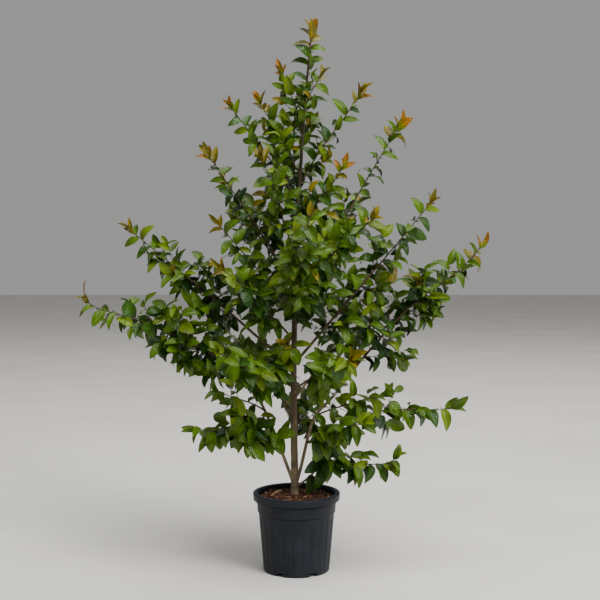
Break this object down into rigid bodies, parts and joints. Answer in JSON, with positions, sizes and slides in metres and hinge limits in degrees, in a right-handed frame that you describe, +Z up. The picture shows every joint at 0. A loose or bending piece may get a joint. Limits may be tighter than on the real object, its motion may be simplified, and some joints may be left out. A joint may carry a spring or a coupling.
{
  "type": "potted photinia tree",
  "caption": "Young several-stemmed broadleaf tree with an open cone-shaped crown of green and bronze leaves, in a ribbed nursery pot of bark compost.",
  "frame": {"origin": "centre of the pot's flat underside", "axes": "+Z up along the trunk, the crown's widest side faces -Y, +X to the right seen from there"},
  "size_m": [1.4777, 1.0663, 1.975],
  "materials": {
    "pot": "satin",
    "compost": "matte",
    "bark": "matte",
    "foliage": "satin"
  },
  "bodies": {
    "root": {"bough_back_left": "bark", "bough_back_low_left": "bark", "bough_back_low_right": "bark", "bough_back_mid": "bark", "bough_back_right": "bark", "bough_front_left": "bark", "bough_front_low_left": "bark", "bough_front_low_right": "bark", "bough_front_mid": "bark", "bough_front_right": "bark", "bough_left_high": "bark", "bough_left_inner": "bark", "bough_left_low": "bark", "bough_left_mid": "bark", "bough_left_stem": "bark", "bough_low_right": "bark", "bough_right_high": "bark", "bough_right_low": "bark", "bough_right_mid": "bark", "bough_right_stem": "bark", "compost": "compost", "foliage_back_high": "foliage", "foliage_back_left": "foliage", "foliage_back_low_left": "foliage", "foliage_back_low_right": "foliage", "foliage_back_mid": "foliage", "foliage_back_right": "foliage", "foliage_back_skirt": "foliage", "foliage_back_top": "foliage", "foliage_front_high_left": "foliage", "foliage_front_high_right": "foliage", "foliage_front_inner": "foliage", "foliage_front_left": "foliage", "foliage_front_low_left": "foliage", "foliage_front_low_right": "foliage", "foliage_front_mid": "foliage", "foliage_front_right": "foliage", "foliage_front_skirt_left": "foliage", "foliage_front_skirt_right": "foliage", "foliage_leader": "foliage", "foliage_left_crown": "foliage", "foliage_left_high": "foliage", "foliage_left_inner": "foliage", "foliage_left_low": "foliage", "foliage_left_mid": "foliage", "foliage_left_skirt": "foliage", "foliage_left_stem": "foliage", "foliage_left_top": "foliage", "foliage_left_top_inner": "foliage", "foliage_low_right": "foliage", "foliage_right_crown": "foliage", "foliage_right_high": "foliage", "foliage_right_low": "foliage", "foliage_right_mid": "foliage", "foliage_right_skirt": "foliage", "foliage_right_stem": "foliage", "foliage_right_top": "foliage", "pot": "pot", "trunk": "bark"}
  },
  "joints": []
}
